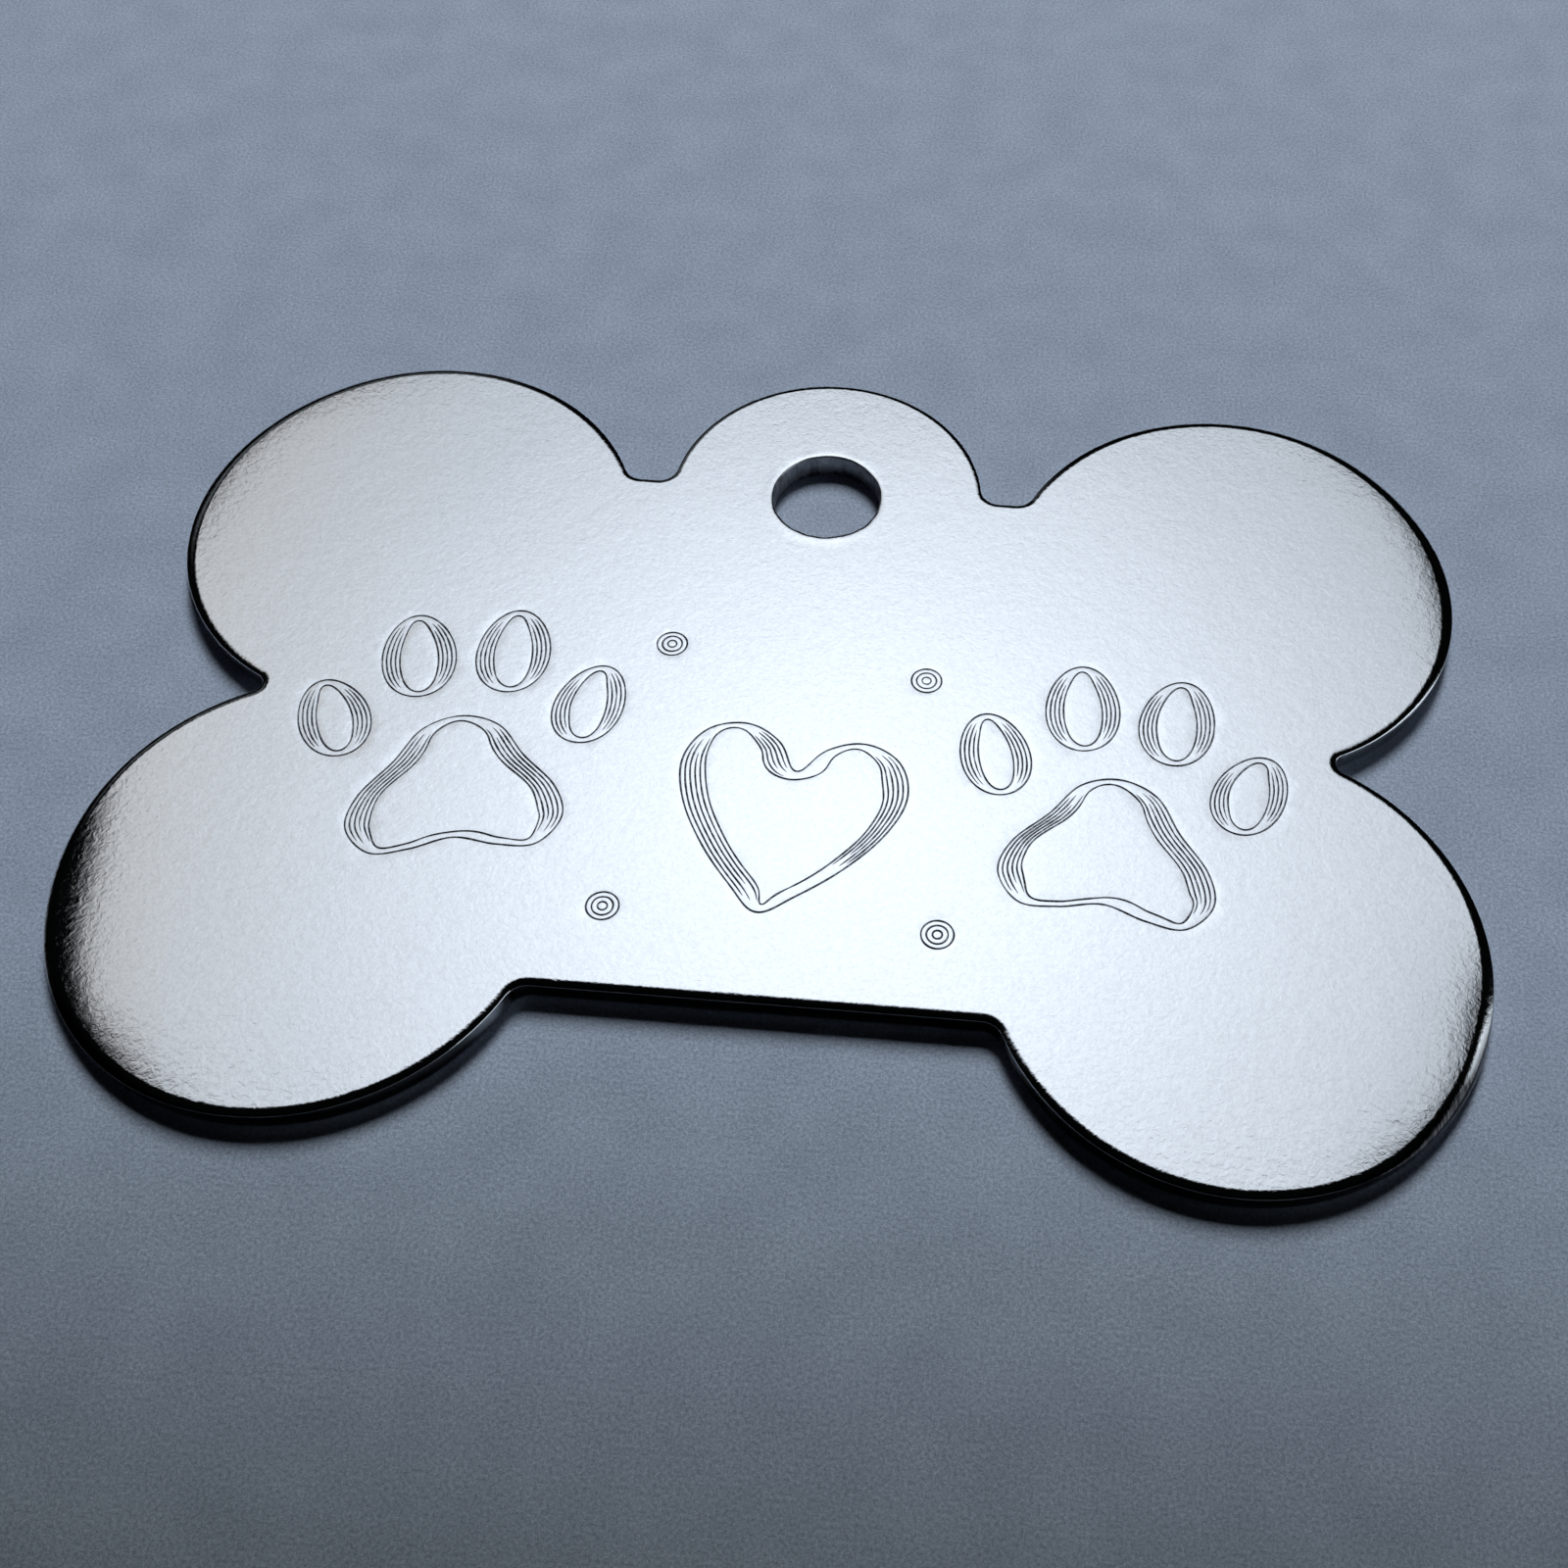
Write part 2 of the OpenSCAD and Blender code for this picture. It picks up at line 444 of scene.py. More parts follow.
HALF_PAD = [(0, 0.55), (1.10, 0.15), (1.85, -0.95), (2.75, -2.05), (3.00, -3.10),
            (2.30, -3.95), (1.20, -3.90), (0, -3.60)]
PAD = HALF_PAD + [(-x, y) for x, y in HALF_PAD[1:-1][::-1]]


def paw(cx, cy, turn, lean, size):
    at = np.array([cx, cy])
    stroke(rot(closed_spline(PAD) * size, turn) + at, 6, 0.18, 0.84, math.radians(lean))
    for x, y, a, b, tilt in ((-1.40, 2.85, 1.08, 1.52, 6), (1.40, 2.85, 1.08, 1.52, -6),
                             (-3.70, 0.75, 1.00, 1.42, 22), (3.70, 0.75, 1.00, 1.42, -22)):
        stroke(rot(toe(x * size, y * size, a * size, b * size, tilt), turn) + at, 5, 0.17, 0.62,
               math.radians(lean))


HALF_HEART = [(0, 1.55), (0.80, 2.65), (2.05, 3.20), (3.35, 2.70), (3.90, 1.35), (3.45, -0.25),
              (2.35, -1.85), (1.05, -3.15), (0, -3.95)]
HEART = HALF_HEART + [(-x, y) for x, y in HALF_HEART[1:-1][::-1]]


def heart(cx, cy, turn, lean):
    p = blur(resample(closed_spline(HEART), True, 0.04), 6)
    stroke(rot(p, turn) + [cx, cy], 6, 0.18, 0.86, math.radians(lean))


def dot(cx, cy):
    t = np.linspace(0, 2 * math.pi, 60, endpoint=False)
    for r in (0.53, 0.35, 0.16):
        add_pass(np.c_[cx + r * np.cos(t), cy + r * 0.96 * np.sin(t)], True)


paw(-11.3, -1.7, 9, 12, 1.18)
heart(0.1, -3.9, -7, 10)
paw(11.2, -2.3, -6, 8, 1.18)
dot(-4.7, 2.7)
dot(4.4, 1.9)
dot(-5.3, -8.0)
dot(5.5, -8.1)


# ---------------------------------------------------------------- front face
def place(xy):
    drop, slope, wear = crown(xy, share=True)
    return S.verts(np.c_[xy, THICK - drop], wear), drop, slope


loops = [(FACE_XY, FACE_LOOP, FACE_NOR), (HOLE_XY, HOLE_LOOP, HOLE_NOR)]


def cut(p, n, width, depth, closed):
    """The walls of one groove. Its outer edges are handed to the face as loops."""
    drop, slope = crown(p)
    base = THICK - drop
    m = len(p)
    lat = np.array([1, CREST_W / EDGE_W, CORE_W / EDGE_W, 0, -CORE_W / EDGE_W, -CREST_W / EDGE_W, -1]) * EDGE_W
    up = np.array([0, BURR, 0.0, -DEPTH, 0.0, BURR, 0])
    rowid, pos = [], []
    core = range(m) if closed else range(1, m - 1)
    for j in range(7):
        xy = p + n * (lat[j] * width)[:, None]
        d2, _ = crown(xy)
        h = up[j] * depth * np.where(width > 0.3, 1, width / 0.3)
        pos.append(np.c_[xy, THICK - d2 + h])
    if closed:
        ids = [S.verts(pos[j]) for j in range(7)]
    else:
        tips = S.verts(np.array([pos[3][0] * [1, 1, 0] + [0, 0, base[0]], pos[3][-1] * [1, 1, 0] + [0, 0, base[-1]]]))
        ids = [np.r_[tips[0], S.verts(pos[j][1:-1]), tips[1]] for j in range(7)]
        for j in range(7):
            pos[j][0], pos[j][-1] = [*pos[3][0][:2], base[0]], [*pos[3][-1][:2], base[-1]]
    for j in range(6):
        a, b = pos[j], pos[j + 1]
        dw = np.einsum("ij,ij->i", (b - a)[:, :2], n)
        dz = (b - a)[:, 2]
        flat = np.abs(dw) < 1e-6
        g = np.where(flat, 0, dz / np.where(flat, 1, dw))
        g = (g + np.roll(g, 1) + np.roll(g, -1)) / 3 if closed else g
        nn = unit(np.c_[-n * g[:, None], np.ones(m)])
        for i in range(m if closed else m - 1):
            k = (i + 1) % m
            q = [ids[j][i], ids[j + 1][i], ids[j + 1][k], ids[j][k]]
            c = [nn[i], nn[i], nn[k], nn[k]]
            keep = [x for x in range(4) if q[x] != q[x - 1]]
            if len(keep) < 3:
                continue
            S.face([q[x] for x in keep], [c[x] for x in keep], CUT if j in (2, 3) else FACE)
    lean = n * (SHOULDER * np.clip(depth, 0, 1))[:, None]
    if closed:
        for j, s in ((0, -1), (6, 1)):
            _, sl = crown(pos[j][:, :2])
            loops.append((pos[j][:, :2], ids[j], unit(np.c_[sl + s * lean, np.ones(m)])))
    else:
        xy = np.vstack([pos[0][:, :2], pos[6][1:-1][::-1][:, :2]])
        idl = np.r_[ids[0], ids[6][1:-1][::-1]]
        _, sl = crown(xy)
        sl = sl + np.vstack([-lean, lean[1:-1][::-1]])
        loops.append((xy, idl, unit(np.c_[sl, np.ones(len(xy))])))


for g in grooves:
    cut(*g)


def fill(loops, filler, up, mat):
    """Triangles between closed loops; points in an even number of loops are left open."""
    xy = np.vstack([l[0] for l in loops])
    ids = np.concatenate([l[1] for l in loops])
    nor = np.vstack([l[2] for l in loops])
    faces, k = [], 0
    for l in loops:
        x, y = l[0][:, 0], l[0][:, 1]
        area = np.sum(x * np.roll(y, -1) - np.roll(x, -1) * y)
        order = list(range(k, k + len(l[0])))
        faces.append(order if area > 0 else order[::-1])
        k += len(l[0])
    pts = [Vector((float(a), float(b))) for a, b in np.vstack([xy, filler[0]])]
    vc, _, tri, ov, _, of = delaunay_2d_cdt(pts, [], faces, 0, 1e-7)
    every = np.concatenate([ids, filler[1]])
    enor = np.vstack([nor, filler[2]])
    lost = [i for i, o in enumerate(ov) if not o]
    if lost:
        print("fill: crossing loops made", len(lost), "points near",
              [tuple(round(c, 2) for c in vc[i]) for i in lost[:6]])
    count = 0
    for f, o in zip(tri, of):
        if len(o) % 2 == 0 or any(not ov[i] for i in f):
            continue
        a, b, c = (vc[i] for i in f)
        src = [ov[i][0] for i in f]
        if ((b - a).cross(c - a) > 0) != up:
            src = src[::-1]
        S.face([every[i] for i in src], [enor[i] for i in src], mat)
        count += 1
    return count


def near(xy, others, gap):
    keep = np.ones(len(xy), bool)
    for k in range(0, len(xy), 400):
        q = xy[k:k + 400]
        d = ((q[:, None, :] - others[None, :, :]) ** 2).sum(-1).min(1)
        keep[k:k + 400] = d > gap * gap
    return xy[keep]


def inside(xy, poly):
    x, y = xy[:, 0][:, None], xy[:, 1][:, None]
    a, b = poly, np.roll(poly, -1, 0)
    c = (a[None, :, 1] > y) != (b[None, :, 1] > y)
    with np.errstate(divide="ignore", invalid="ignore"):
        t = (b[:, 0] - a[:, 0]) * (y - a[:, 1]) / (b[:, 1] - a[:, 1]) + a[:, 0]
    return (c & (x < t)).sum(1) % 2 == 1


step = 0.42
gx, gy = np.meshgrid(np.arange(-24, 24, step), np.arange(-17, 17, step * 0.866))
gx = gx + (np.arange(gx.shape[0]) % 2)[:, None] * step / 2
hexes = np.c_[gx.ravel(), gy.ravel()]
hexes = hexes + rng.uniform(-0.03, 0.03, hexes.shape)
hexes = hexes[inside(hexes, FACE_XY)]
hexes = hexes[np.hypot(hexes[:, 0] - HOLE[0], hexes[:, 1] - HOLE[1]) > HOLE_R + 0.75]
hexes = near(hexes, np.vstack([l[0] for l in loops]), 0.13)
hid, _, hs = place(hexes)
tri_front = fill(loops, (hexes, hid, unit(np.c_[hs, np.ones(len(hexes))])), True, FACE)

# ---------------------------------------------------------------- back face
down = np.array([0.0, 0.0, -1.0])
b_loops = [(BACK_XY, BACK_LOOP, np.tile(down, (len(BACK_XY), 1))),
           (BACK_HOLE_XY, BACK_HOLE, np.tile(down, (M_HOLE, 1)))]
step = 1.1
gx, gy = np.meshgrid(np.arange(-24, 24, step), np.arange(-17, 17, step * 0.866))
gx = gx + (np.arange(gx.shape[0]) % 2)[:, None] * step / 2
hexes = np.c_[gx.ravel(), gy.ravel()]
hexes = hexes[inside(hexes, BACK_XY)]
hexes = hexes[np.hypot(hexes[:, 0] - HOLE[0], hexes[:, 1] - HOLE[1]) > HOLE_R + 0.6]
hexes = near(hexes, BACK_XY, 0.5)
bid = S.verts(np.c_[hexes, np.zeros(len(hexes))])
tri_back = fill(b_loops, (hexes, bid, np.tile(down, (len(hexes), 1))), False, FACE)

# ---------------------------------------------------------------- the mesh
mesh = bpy.data.meshes.new("tag_face")
mesh.from_pydata((np.vstack(S.co) * 0.001).tolist(), [], S.faces)
mesh.polygons.foreach_set("material_index", np.array(S.mat, np.int32))
mesh.polygons.foreach_set("use_smooth", np.ones(len(S.mat), bool))
mesh.update()
mesh.normals_split_custom_set(np.vstack(S.nor).tolist())
wear_and_shade = mesh.attributes.new("wear_and_shade", "FLOAT", "POINT")      # where the wheel rolled the rim over, plus the darkened rim and the painted shade of the bottom edges
wear_and_shade.data.foreach_set("value", np.concatenate(S.wear).astype(np.float32))
tag = bpy.data.objects.new("engraved_tag", mesh)
scene.collection.objects.link(tag)
print("tag mesh:", len(mesh.vertices), "points", len(mesh.polygons), "faces,", tri_front, "front triangles")


# ---------------------------------------------------------------- materials
class Nodes:
    """Small helper for building a node tree."""

    def __init__(self, name):
        self.mat = bpy.data.materials.new(name)
        self.mat.use_nodes = True
        self.t = self.mat.node_tree
        self.t.nodes.clear()
        self.out = self.t.nodes.new("ShaderNodeOutputMaterial")

    def new(self, kind, **props):
        n = self.t.nodes.new(kind)
        for k, v in props.items():
            if k.startswith("i_"):
                n.inputs[k[2:].replace("_", " ")].default_value = v
            else:
                setattr(n, k, v)
        return n

    def link(self, a, b):
        self.t.links.new(a, b)

    def value(self, sock, x):
        if hasattr(x, "is_linked") or hasattr(x, "links"):
            self.link(x, sock)
        else:
            sock.default_value = x

    def math(self, op, a, b=None, clamp=False):
        n = self.t.nodes.new("ShaderNodeMath")
        n.operation = op
        n.use_clamp = clamp
        self.value(n.inputs[0], a)
        if b is not None:
            self.value(n.inputs[1], b)
        return n.outputs[0]

    def remap(self, x, a, b, c, d, kind="SMOOTHSTEP"):
        n = self.t.nodes.new("ShaderNodeMapRange")
        n.interpolation_type = kind
        self.value(n.inputs["Value"], x)
        for k, v in (("From Min", a), ("From Max", b), ("To Min", c), ("To Max", d)):
            n.inputs[k].default_value = v
        return n.outputs["Result"]

    def noise(self, vec, scale, detail=2.0, rough=0.5, dist=0.0):
        n = self.t.nodes.new("ShaderNodeTexNoise")
        n.inputs["Scale"].default_value = scale
        n.inputs["Detail"].default_value = detail
        n.inputs["Roughness"].default_value = rough
        n.inputs["Distortion"].default_value = dist
        self.link(vec, n.inputs["Vector"])
        return n.outputs["Fac"]

    def mapping(self, vec, scale=(1, 1, 1), turn=(0, 0, 0), loc=(0, 0, 0)):
        n = self.t.nodes.new("ShaderNodeMapping")
        n.inputs["Scale"].default_value = scale
        n.inputs["Rotation"].default_value = turn
        n.inputs["Location"].default_value = loc
        self.link(vec, n.inputs["Vector"])
        return n.outputs["Vector"]

    def bump(self, height, distance, strength=1.0, normal=None):
        n = self.t.nodes.new("ShaderNodeBump")
        n.inputs["Strength"].default_value = strength
        n.inputs["Distance"].default_value = distance
        self.link(height, n.inputs["Height"])
        if normal is not None:
            self.link(normal, n.inputs["Normal"])
        return n.outputs["Normal"]

    def mix(self, fac, a, b, kind="MIX"):
        n = self.t.nodes.new("ShaderNodeMix")
        n.data_type = "RGBA"
        n.blend_type = kind
        self.value(n.inputs["Factor"], fac)
        for s, x in ((n.inputs[6], a), (n.inputs[7], b)):
            if isinstance(x, tuple):
                s.default_value = (*x, 1)
            else:
                self.link(x, s)
        return n.outputs[2]

    def principled(self, **inputs):
        n = self.t.nodes.new("ShaderNodeBsdfPrincipled")
        for k, v in inputs.items():
            self.value(n.inputs[k.replace("_", " ")], v)
        self.link(n.outputs[0], self.out.inputs["Surface"])
        return n


def polished():
    """Bright plated metal, polished on a wheel: a gentle orange peel, soft streaks
    that run with the wheel, a few hairline scratches and dull specks."""
    m = Nodes("polished_metal")
    pos = m.new("ShaderNodeTexCoord").outputs["Object"]
    sep = m.new("ShaderNodeSeparateXYZ")
    m.link(pos, sep.inputs[0])
    wear = m.new("ShaderNodeAttribute", attribute_name="wear_and_shade").outputs["Fac"]
    wear_and_shade = m.math("MINIMUM", wear, 1.1)
    broad = m.noise(m.mapping(pos, loc=(0.01, 0.02, 0)), 240, 1.0, 0.5)
    peel = m.noise(m.mapping(pos), 1700, 2.0, 0.55, 0.5)
    fine = m.noise(m.mapping(pos, loc=(0.07, 0.03, 0)), 4600, 3.0, 0.62, 0.9)

    # streaks: leaning on the left, nearly upright on the right
    def streaks(angle, along, across):
        turned = m.mapping(pos, turn=(0, 0, math.radians(-angle)))
        return m.noise(m.mapping(turned, (along, across, along)), 1, 2.0, 0.6)

    side = m.remap(sep.outputs["X"], -0.006, 0.008, 0.0, 1.0)
    streak = m.new("ShaderNodeMix")
    streak.data_type = "FLOAT"
    m.link(side, streak.inputs[0])
    m.link(streaks(60, 2400, 13000), streak.inputs[2])
    m.link(streaks(94, 1500, 12000), streak.inputs[3])
    much = m.math("ADD", m.math("MULTIPLY", wear_and_shade, 1.0), 0.15)
    # a few hairline scratches that run across the tag
    hair = m.remap(streaks(3, 160, 16000), 0.76, 0.82, 0.0, 1.0)
    n = m.bump(broad, 0.000012)
    n = m.bump(peel, 0.0000052, 1.0, n)
    n = m.bump(fine, 0.0000056, 1.0, n)
    n = m.bump(m.math("MULTIPLY", m.math("SUBTRACT", streak.outputs[0], 0.5), much), 0.0000016, 1.0, n)
    n = m.bump(hair, 0.0000006, 1.0, n)
    haze = m.noise(m.mapping(pos), 700, 3.0, 0.6)
    rough = m.remap(haze, 0.3, 0.75, 0.045, 0.075)
    rough = m.math("ADD", rough, m.math("MULTIPLY", wear_and_shade, 0.012))
    fleck = m.remap(m.noise(m.mapping(pos, loc=(0.3, 0.1, 0.2)), 8500, 3.0, 0.7), 0.40, 0.66, 0.0, 0.28)
    colour = m.mix(fleck, (0.735, 0.75, 0.765), (0.50, 0.51, 0.53))
    # painted shade: where the attribute carries the painted shade of the bottom edges and the darkened rim, the
    # colour goes nearly black
    darkening_and_shade = m.math("MULTIPLY", m.remap(wear, 1.15, 2.3, 0.0, 1.0), m.remap(streak.outputs[0], 0.3, 0.6, 0.92, 1.0))
    colour = m.mix(darkening_and_shade, colour, (0.018, 0.018, 0.021))
    m.principled(Base_Color=colour, Metallic=1.0, Roughness=rough, Normal=n)
    return m.mat


def cut_metal():
    """Fresh metal in the bottom of the engraved lines, with the cutter's chatter."""
    m = Nodes("engraved_cut")
    pos = m.new("ShaderNodeTexCoord").outputs["Object"]
    grain = m.noise(m.mapping(pos), 5200, 2.0, 0.6)
    colour = m.mix(m.remap(grain, 0.35, 0.65, 0.0, 1.0), (0.16, 0.16, 0.18), (0.60, 0.61, 0.64))
    n = m.bump(grain, 0.000003)
    m.principled(Base_Color=colour, Metallic=1.0, Roughness=0.46, Normal=n)
    return m.mat


def edge_metal():
    """The punched and tumbled edge: plated over, with fine upright drawing marks."""
    m = Nodes("punched_edge")
    pos = m.new("ShaderNodeTexCoord").outputs["Object"]
    marks = m.noise(m.mapping(pos, (5200, 5200, 500)), 1, 3.0, 0.6)
    broad = m.noise(m.mapping(pos, (900, 900, 300)), 1, 2.0, 0.5)
    colour = m.mix(marks, (0.50, 0.50, 0.52), (0.64, 0.65, 0.66))
    wear = m.new("ShaderNodeAttribute", attribute_name="wear_and_shade").outputs["Fac"]
    # painted shade: the wall goes nearly black with the attribute, on the camera-facing bottom edges and where the
    # rim is worn or darkened
    colour = m.mix(m.remap(wear, 0.2, 1.4, 0.0, 0.95), colour, (0.03, 0.03, 0.03))
    rough = m.remap(broad, 0.3, 0.7, 0.11, 0.20)
    n = m.bump(marks, 0.000002)
    n = m.bump(broad, 0.000004, 1.0, n)
    m.principled(Base_Color=colour, Metallic=1.0, Roughness=rough, Normal=n)
    return m.mat


def bore_metal():
    """The punched wall of the hole: duller than the face, torn in patches."""
    m = Nodes("bore_wall")
    pos = m.new("ShaderNodeTexCoord").outputs["Object"]
    torn = m.noise(m.mapping(pos, (2600, 2600, 900)), 1, 4.0, 0.65, 0.4)
    patch = m.noise(m.mapping(pos, (900, 900, 700)), 1, 2.0, 0.5)
    colour = m.mix(m.remap(torn, 0.35, 0.65, 0.0, 1.0), (0.22, 0.22, 0.24), (0.48, 0.49, 0.52))
    rough = m.remap(patch, 0.3, 0.7, 0.34, 0.50)
    n = m.bump(torn, 0.000014)
    m.principled(Base_Color=colour, Metallic=1.0, Roughness=rough, Normal=n)
    return m.mat


for mat in (polished(), cut_metal(), edge_metal(), bore_metal()):
    mesh.materials.append(mat)

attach(tag, "root")
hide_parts("tag_plate")


# ---------------------------------------------------------------- stage
def grid(name, x0, x1, y0, y1, z, nx, ny, faces_down=False):
    xs, ys = np.linspace(x0, x1, nx + 1), np.linspace(y0, y1, ny + 1)
    v = [(x, y, z) for y in ys for x in xs]
    f = []
    for j in range(ny):
        for i in range(nx):
            a = j * (nx + 1) + i
            q = (a, a + 1, a + nx + 2, a + nx + 1)
            f.append(q[::-1] if faces_down else q)
    me = bpy.data.meshes.new(name)
    me.from_pydata(v, [], f)
    ob = bpy.data.objects.new(name, me)
    scene.collection.objects.link(ob)
    return ob


floor = grid("floor", -1.6, 1.6, -1.6, 1.6, 0.0, 32, 32)
m = Nodes("floor_paper")
pos = m.new("ShaderNodeTexCoord").outputs["Object"]
sep = m.new("ShaderNodeSeparateXYZ")
m.link(pos, sep.inputs[0])
grain = m.noise(m.mapping(pos), 3200, 4.0, 0.62)
tooth = m.noise(m.mapping(pos, loc=(0.4, 0.2, 0)), 9000, 2.0, 0.5)
mottle = m.noise(m.mapping(pos), 420, 2.0, 0.5)
# painted shade: the floor is darkened in a band across the front, darkest from Y -36 to -45 mm and pale again towards
# -6 and -120 mm
shade = m.remap(sep.outputs["Y"], -0.036, -0.006, 0.0, 1.0)
shade = m.math("MAXIMUM", shade, m.remap(sep.outputs["Y"], -0.12, -0.045, 1.0, 0.0))
base = m.mix(shade, (0.205, 0.232, 0.246), (0.66, 0.745, 0.92))
speck = m.noise(m.mapping(pos, loc=(0.1, 0.5, 0)), 21000, 1.0, 0.5)
base = m.mix(m.remap(tooth, 0.30, 0.70, 0.60, 0.0, "LINEAR"), base, (0.40, 0.42, 0.45), "MULTIPLY")
base = m.mix(m.remap(speck, 0.25, 0.75, 0.70, 0.0, "LINEAR"), base, (0.40, 0.42, 0.45), "MULTIPLY")
base = m.mix(m.remap(mottle, 0.3, 0.7, 0.22, 0.0, "LINEAR"), base, (0.50, 0.52, 0.55), "MULTIPLY")
n = m.bump(grain, 0.000016)
n = m.bump(tooth, 0.000012, 1.0, n)
# painted light: the floor glows from 7 cm out to 35 cm, so that it stays pale far from the lamp
far = m.math("SQRT", m.math("ADD", m.math("POWER", sep.outputs["X"], 2.0), m.math("POWER", sep.outputs["Y"], 2.0)))
glow = m.remap(far, 0.07, 0.35, 0.0, 0.24)
pr = m.principled(Base_Color=base, Roughness=0.75, Specular_IOR_Level=0.08, Normal=n)
pr.inputs["Emission Color"].default_value = (0.80, 0.90, 1.0, 1)
m.link(glow, pr.inputs["Emission Strength"])
floor.data.materials.append(m.mat)

# pale backdrop behind everything, for the low views
dome_v, dome_f = [], []
ND, MD = 48, 10
for j in range(MD + 1):
    e = math.radians(-2 + 92 * j / MD)
    for i in range(ND):
        a = 2 * math.pi * i / ND
        dome_v.append((1.5 * math.cos(e) * math.cos(a), 1.5 * math.cos(e) * math.sin(a), 1.5 * math.sin(e)))
for j in range(MD):
    for i in range(ND):
        k = (i + 1) % ND
        dome_f.append((j * ND + i, (j + 1) * ND + i, (j + 1) * ND + k, j * ND + k))
dome_me = bpy.data.meshes.new("backdrop")
dome_me.from_pydata(dome_v, [], dome_f)
dome_me.polygons.foreach_set("use_smooth", np.ones(len(dome_f), bool))
dome = bpy.data.objects.new("backdrop", dome_me)
scene.collection.objects.link(dome)
m = Nodes("backdrop_pale")
pos = m.new("ShaderNodeTexCoord").outputs["Object"]
sep = m.new("ShaderNodeSeparateXYZ")
m.link(pos, sep.inputs[0])
em = m.new("ShaderNodeEmission")
em.inputs["Color"].default_value = (0.80, 0.90, 1.0, 1)
m.link(m.remap(sep.outputs["Z"], 0.0, 0.9, 0.24, 0.36), em.inputs["Strength"])
m.link(em.outputs[0], m.out.inputs["Surface"])
dome.data.materials.append(m.mat)
dome.visible_diffuse = dome.visible_glossy = dome.visible_shadow = dome.visible_transmission = False

# ---------------------------------------------------------------- light
# Everything here is placed by the direction in which the flat face sends the
# view: (u, v, 1) from the point V, the camera's mirror image in the face.
VX, VY, VZ = 0.006363, -0.034665, -0.048559


def panel(name, z, u0, u1, v0, v1, colour, strength, hot, base, centre, size, feather):
    """A soft panel overhead, brighter round its centre, with soft edges."""
    k = z - VZ
    ob = grid(name, VX + u0 * k, VX + u1 * k, VY + v0 * k, VY + v1 * k, z, 8, 8, True)
    ob.visible_camera = False
    m = Nodes(name + "_light")
    pos = m.new("ShaderNodeTexCoord").outputs["Object"]
    sep = m.new("ShaderNodeSeparateXYZ")
    m.link(pos, sep.inputs[0])
    u = m.math("DIVIDE", m.math("SUBTRACT", sep.outputs["X"], VX), k)
    v = m.math("DIVIDE", m.math("SUBTRACT", sep.outputs["Y"], VY), k)
    du = m.math("POWER", m.math("DIVIDE", m.math("SUBTRACT", u, centre[0]), size[0]), 2.0)
    dv = m.math("POWER", m.math("DIVIDE", m.math("SUBTRACT", v, centre[1]), size[1]), 2.0)
    g = m.math("EXPONENT", m.math("MULTIPLY", m.math("ADD", du, dv), -1.0))
    e = m.math("ADD", m.math("MULTIPLY", g, hot), base)
    fu0, fu1, fv0, fv1 = feather
    e = m.math("MULTIPLY", e, m.remap(u, u0, u0 + fu0, 0.0, 1.0))
    e = m.math("MULTIPLY", e, m.remap(u, u1 - fu1, u1, 1.0, 0.0))
    e = m.math("MULTIPLY", e, m.remap(v, v0, v0 + fv0, 0.0, 1.0))
    e = m.math("MULTIPLY", e, m.remap(v, v1 - fv1, v1, 1.0, 0.0))
    em = m.new("ShaderNodeEmission")
    m.link(m.mix(m.remap(u, -0.60, -0.36, 0.0, 1.0), (0.98, 1.0, 1.03), colour), em.inputs["Color"])
    m.link(m.math("MULTIPLY", e, strength), em.inputs["Strength"])
    m.link(em.outputs[0], m.out.inputs["Surface"])
    ob.data.materials.append(m.mat)
    return ob


soft = panel("soft_panel", 0.35, -0.77, 0.53, 0.240, 1.24, (0.925, 1.0, 1.095), 1.0 / 0.69, 0.59, 0.43,
             (-0.078, 0.610), (0.34, 0.37), (0.16, 0.15, 0.13, 0.18))
soft.visible_diffuse = soft.visible_shadow = False


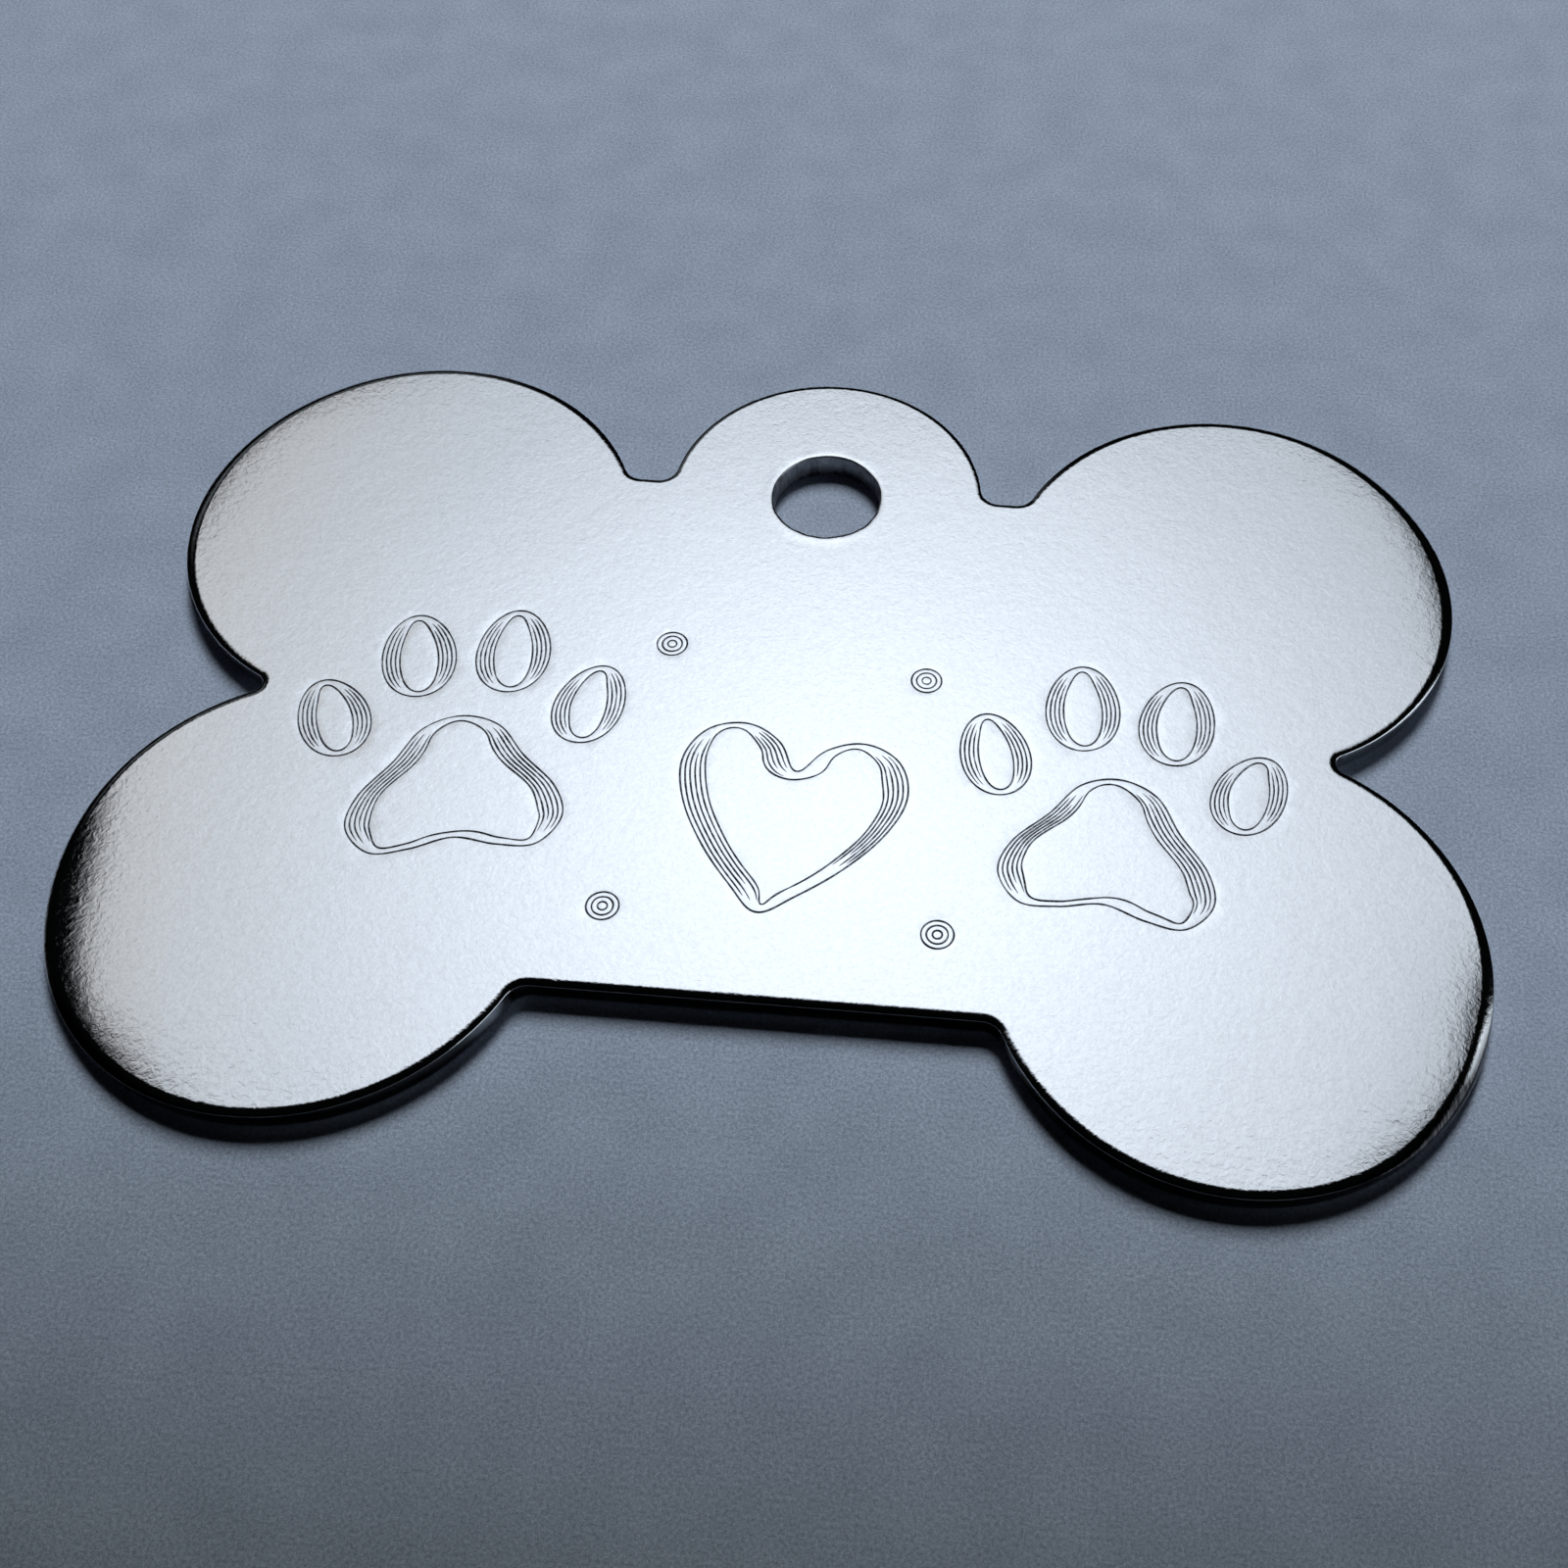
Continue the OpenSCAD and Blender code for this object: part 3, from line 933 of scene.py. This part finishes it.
def screen(name, az, el, soft_az, soft_el, strength, colour=(0.85, 0.93, 1.0), radius=0.6):
    """A piece of a large soft dome that only the metal sees: az and el are its
    limits in degrees, and it fades out over soft_az and soft_el inside them."""
    na, ne = 28, 16
    v, glow = [], []
    for j in range(ne + 1):
        e = el[0] + (el[1] - el[0]) * j / ne
        for i in range(na + 1):
            a = az[0] + (az[1] - az[0]) * i / na
            ra, re = math.radians(a), math.radians(e)
            v.append((radius * math.cos(re) * math.cos(ra), radius * math.cos(re) * math.sin(ra), radius * math.sin(re)))
            fade = smooth(0, soft_az, a - az[0]) * smooth(0, soft_az, az[1] - a) * smooth(0, soft_el, el[1] - e)
            if el[0] > 0:
                fade = fade * smooth(0, soft_el, e - el[0])
            glow.append(float(fade))
    f = [(j * (na + 1) + i, j * (na + 1) + i + 1, (j + 1) * (na + 1) + i + 1, (j + 1) * (na + 1) + i)
         for j in range(ne) for i in range(na)]
    me = bpy.data.meshes.new(name)
    me.from_pydata(v, [], f)
    at = me.attributes.new("glow", "FLOAT", "POINT")
    at.data.foreach_set("value", np.array(glow, np.float32))
    ob = bpy.data.objects.new(name, me)
    scene.collection.objects.link(ob)
    m = Nodes(name + "_light")
    em = m.new("ShaderNodeEmission")
    em.inputs["Color"].default_value = (*colour, 1)
    glow = m.new("ShaderNodeAttribute", attribute_name="glow").outputs["Fac"]
    m.link(m.math("MULTIPLY", glow, strength), em.inputs["Strength"])
    m.link(em.outputs[0], m.out.inputs["Surface"])
    me.materials.append(m.mat)
    ob.visible_camera = ob.visible_diffuse = ob.visible_shadow = False
    return ob


screen("right_strip", (-38, 22), (1, 37), 7, 7, 1.4)
screen("back_left_screen", (100, 150), (19, 34), 14, 4, 0.10)
screen("front_right_screen", (-85, -36), (5, 23), 9, 5, 0.34)
screen("left_low_screen", (155, 210), (0, 6), 14, 3, 0.12)
screen("back_low_screen", (65, 115), (0, 4.5), 14, 2, 0.12)


def lamp(name, u, v, dist, size, power, colour, glossy=False):
    """A square soft light along the direction (u, v, 1), aimed at the tag."""
    d = Vector((u, v, 1)).normalized()
    li = bpy.data.lights.new(name, "AREA")
    li.shape = "RECTANGLE"
    li.size, li.size_y = size
    li.energy = power
    li.color = colour
    ob = bpy.data.objects.new(name, li)
    ob.location = d * dist
    ob.rotation_mode = "QUATERNION"
    ob.rotation_quaternion = d.to_track_quat("Z", "Y")
    scene.collection.objects.link(ob)
    ob.visible_camera = False
    ob.visible_glossy = glossy
    return ob


lamp("floor_key", 0.03, 0.75, 0.45, (0.10, 0.20), 1.45, (0.93, 0.98, 1.0))

world = bpy.data.worlds.new("world")
scene.world = world
world.use_nodes = True
bg = world.node_tree.nodes.get("Background")
bg.inputs["Color"].default_value = (0.8, 0.9, 1.0, 1)
bg.inputs["Strength"].default_value = 0.0015

scene.view_settings.view_transform = "Standard"
scene.view_settings.look = "None"
scene.view_settings.exposure = 0
scene.view_settings.gamma = 1

# ---------------------------------------------------------------- camera
cam = bpy.data.cameras.new("camera")
cam.sensor_width = 36
cam.lens = 40.262
cam.shift_x = -0.085
cam.clip_start, cam.clip_end = 0.001, 20
camera = bpy.data.objects.new("camera", cam)
camera.location = (0.006019, -0.034676, 0.050496)
camera.rotation_euler = (math.radians(33.0969), math.radians(-1.0682), math.radians(4.4889))
scene.collection.objects.link(camera)
scene.camera = camera
